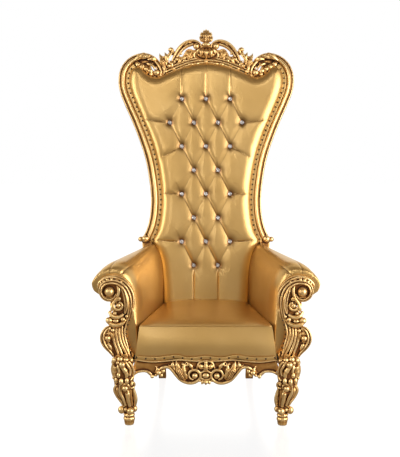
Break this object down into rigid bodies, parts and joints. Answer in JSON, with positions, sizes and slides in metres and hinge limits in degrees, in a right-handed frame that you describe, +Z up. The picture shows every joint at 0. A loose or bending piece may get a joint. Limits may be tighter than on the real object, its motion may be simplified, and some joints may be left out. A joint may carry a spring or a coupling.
{
  "type": "throne",
  "caption": "High-backed carved and gilded throne chair with tufted back, rolled padded arms, boxed seat and carved front legs and apron.",
  "frame": {"origin": "on the floor, under the middle of the whole throne's bounding box", "axes": "+Z up, the front with the seat opening faces -Y, +X towards the right as seen from the front"},
  "size_m": [1.012, 0.7854, 1.8311],
  "materials": {
    "gilding": "carved wood under antique gold paint with a dark brown glaze in the hollows",
    "leather": "metallic gold faux leather with a fine grain and a satin sheen",
    "crystal": "faceted clear crystal buttons",
    "lining": "matt dark dust cloth under the seat"
  },
  "bodies": {
    "root": {"front_leg_left": "gilding", "front_leg_right": "gilding", "back_leg_left": "gilding", "back_leg_right": "gilding", "front_rail": "gilding", "side_rail_left": "gilding", "side_rail_right": "gilding", "back_rail": "gilding", "arm_facing_left": "gilding", "arm_facing_right": "gilding", "stile_left": "gilding", "stile_right": "gilding", "crest": "gilding", "seat_pad": "leather", "arm_pad_left": "leather", "arm_pad_right": "leather", "back_pad": "leather", "seat_base": "lining", "back_board": "leather", "button_1_1": "crystal", "button_1_2": "crystal", "button_1_3": "crystal", "button_2_1": "crystal", "button_2_2": "crystal", "button_2_3": "crystal", "button_2_4": "crystal", "button_3_1": "crystal", "button_3_2": "crystal", "button_3_3": "crystal", "button_4_1": "crystal", "button_4_2": "crystal", "button_5_1": "crystal", "button_5_2": "crystal", "button_5_3": "crystal", "button_6_1": "crystal", "button_6_2": "crystal", "button_7_1": "crystal", "button_7_2": "crystal", "button_7_3": "crystal", "button_8_1": "crystal", "button_8_2": "crystal"}
  },
  "joints": []
}
